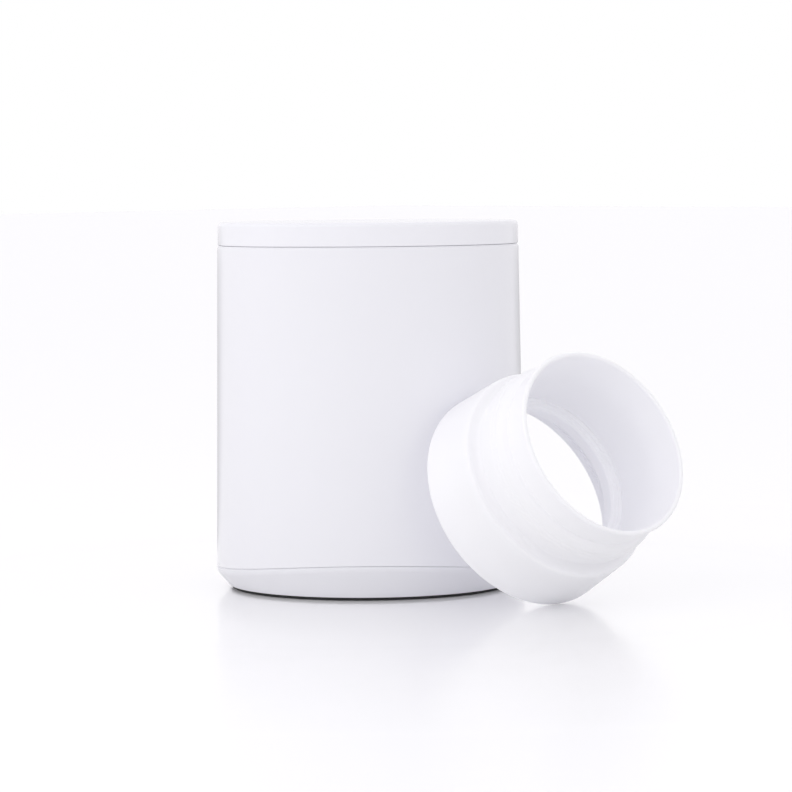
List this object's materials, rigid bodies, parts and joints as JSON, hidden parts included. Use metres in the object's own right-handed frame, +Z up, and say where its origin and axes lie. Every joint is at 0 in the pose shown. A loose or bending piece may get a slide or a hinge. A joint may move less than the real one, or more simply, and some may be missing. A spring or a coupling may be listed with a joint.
{
  "type": "bottle warmer",
  "caption": "Portable battery bottle warmer: round white housing with a lift-off lid, heated steel chamber and rear power button, with a loose silicone bottle adapter beside it.",
  "frame": {"origin": "on the housing's axis, in the plane of the table that the rubber foot ring stands on", "axes": "+Z up along the housing's axis, -Y towards the plain front, +Y towards the power button and charging port"},
  "size_m": [0.1205, 0.1217, 0.0971],
  "materials": {
    "shell_plastic": "glossy moulded white",
    "base_plastic": "satin moulded white",
    "lid_plastic": "glossy moulded white",
    "deck_plastic": "glossy moulded white",
    "holder_plastic": "plain moulded light grey",
    "frame_plastic": "plain moulded dark grey",
    "black_plastic": "plain moulded black",
    "button_plastic": "glossy moulded pale grey",
    "connector_plastic": "plain moulded ivory",
    "component_dark": "matt epoxy",
    "foot_rubber": "matt black rubber",
    "seal_silicone": "soft translucent silicone",
    "adapter_silicone": "smooth translucent white silicone",
    "cup_steel": "brushed stainless steel",
    "screw_steel": "zinc-plated steel",
    "port_metal": "plated steel",
    "sensor_metal": "tinned metal",
    "tab_nickel": "nickel strip",
    "cell_can": "heat-shrink sleeve over a metal can",
    "capacitor_aluminium": "bare aluminium can",
    "heater_polyimide": "amber polyimide film",
    "insulation_foam": "closed-cell foam",
    "board_laminate": "green solder mask",
    "lamp_clear": "clear moulding"
  },
  "bodies": {
    "housing": {"outer_shell": "shell_plastic", "base_cup": "base_plastic", "foot_ring": "foot_rubber", "base_screws": "screw_steel", "mouth_ring": "deck_plastic", "mouth_seal": "seal_silicone", "chamber_cup": "cup_steel", "chamber_holder": "holder_plastic", "holder_screws": "screw_steel", "heater_film": "heater_polyimide", "insulation_sleeve": "insulation_foam", "insulation_disc": "insulation_foam", "temperature_sensor": "sensor_metal", "thermal_fuse": "sensor_metal", "battery_cell_front": "cell_can", "battery_cell_back": "cell_can", "battery_tabs": "tab_nickel", "battery_tray": "frame_plastic", "battery_clamp": "frame_plastic", "clamp_screws": "screw_steel", "main_board": "board_laminate", "board_screws": "screw_steel", "port_shell": "port_metal", "port_core": "black_plastic", "power_inductor": "component_dark", "capacitors": "capacitor_aluminium", "control_chips": "component_dark", "heater_connector": "connector_plastic", "flex_connector": "connector_plastic", "button_flex": "heater_polyimide", "button_board": "board_laminate", "button_board_screws": "screw_steel", "tact_switch": "black_plastic", "status_led": "lamp_clear", "light_pipe": "lamp_clear"},
    "lid": {"lid_cap": "lid_plastic", "lid_plug": "deck_plastic", "lid_seal": "seal_silicone", "lid_insulation": "insulation_foam"},
    "adapter": {"bottle_adapter": "adapter_silicone"},
    "button": {"power_button": "button_plastic", "switch_plunger": "black_plastic"}
  },
  "joints": [
    {"name": "lid_lift", "type": "slide", "parent": "housing", "child": "lid", "axis": [0, 0, 1], "range_m": [0, 0.12]},
    {"name": "adapter_lift", "type": "slide", "parent": "housing", "child": "adapter", "axis": [0, 0, 1], "range_m": [0, 0.12]},
    {"name": "button_press", "type": "slide", "parent": "housing", "child": "button", "axis": [0, -1, 0], "range_m": [0, 0.0004], "stiffness_N_per_m": 900, "springref_m": -0.0008}
  ]
}
